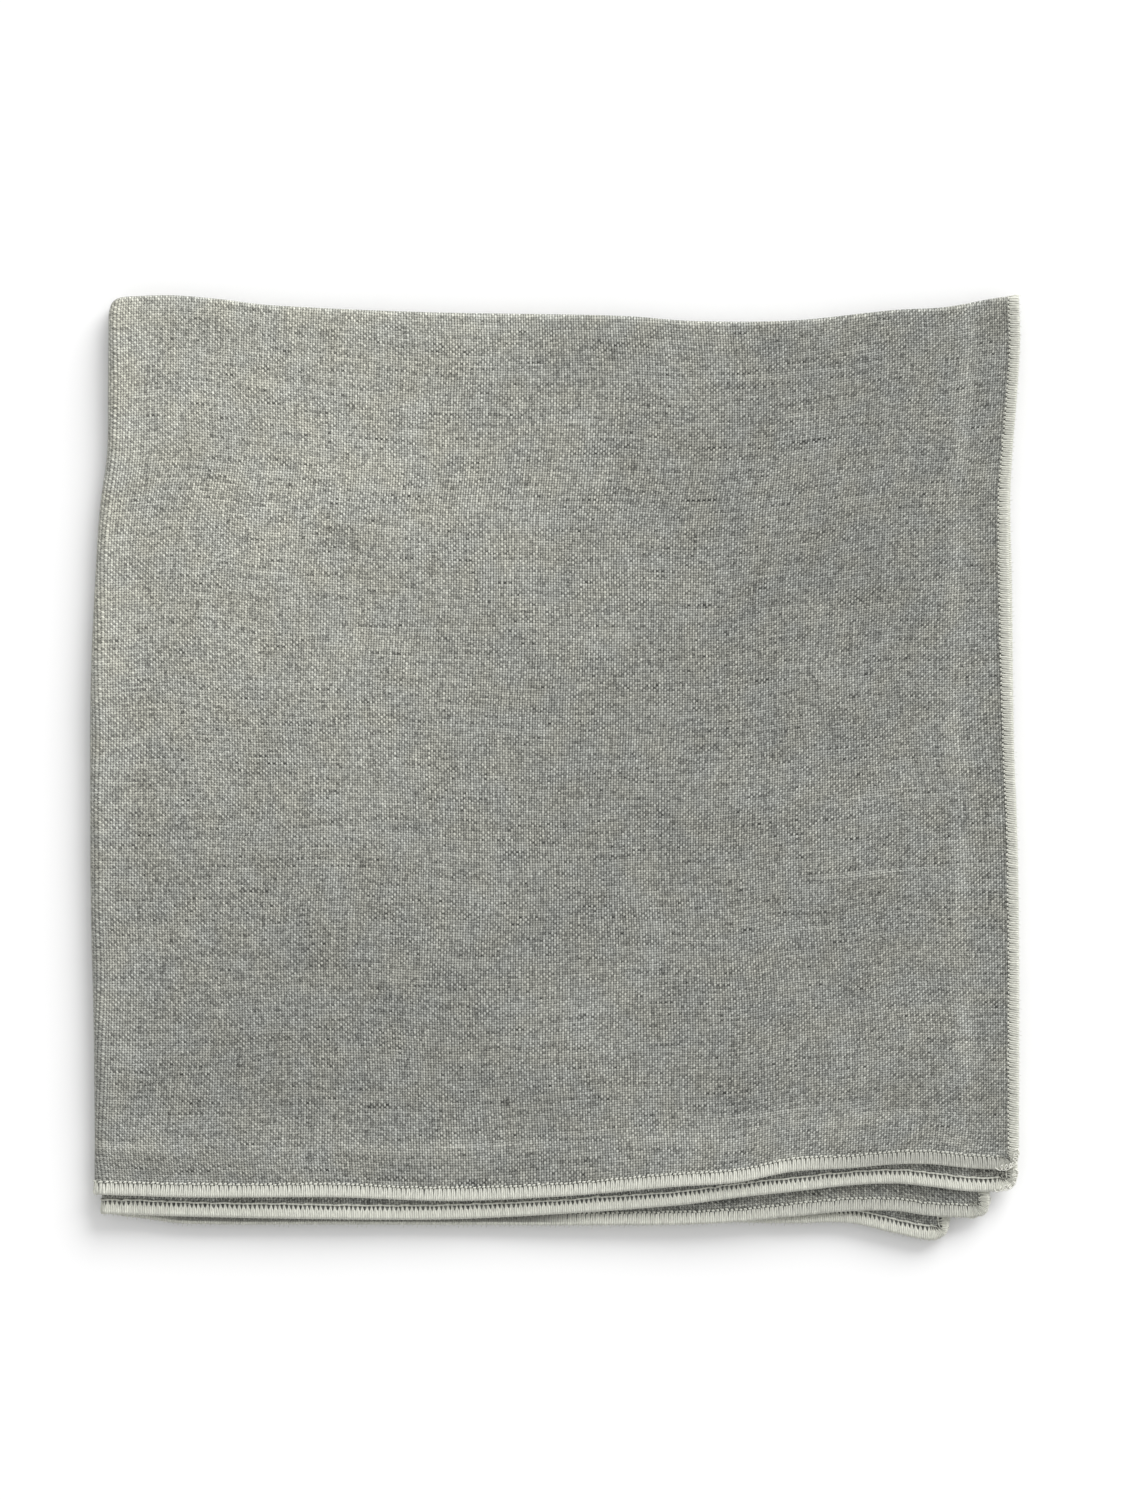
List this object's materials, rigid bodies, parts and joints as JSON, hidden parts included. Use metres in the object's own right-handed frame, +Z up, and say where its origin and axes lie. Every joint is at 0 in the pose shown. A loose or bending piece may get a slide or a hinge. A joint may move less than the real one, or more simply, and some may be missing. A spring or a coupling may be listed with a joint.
{
  "type": "folded kitchen towel",
  "caption": "Square linen kitchen towel in plain weave, folded in half both ways and lying flat, with overlock edging round its stepped raw edges.",
  "frame": {"origin": "centre of the folded towel's outline, on the surface that it lies on", "axes": "+Z up from the surface, +Y towards the top fold, +X towards the raw right edge"},
  "size_m": [0.2343, 0.2382, 0.0074],
  "materials": {
    "linen": "undyed grey linen in plain weave, matt, with slubs",
    "edging_thread": "ivory spun thread, soft sheen"
  },
  "bodies": {
    "root": {"cloth": "linen", "edging": "edging_thread"}
  },
  "joints": []
}
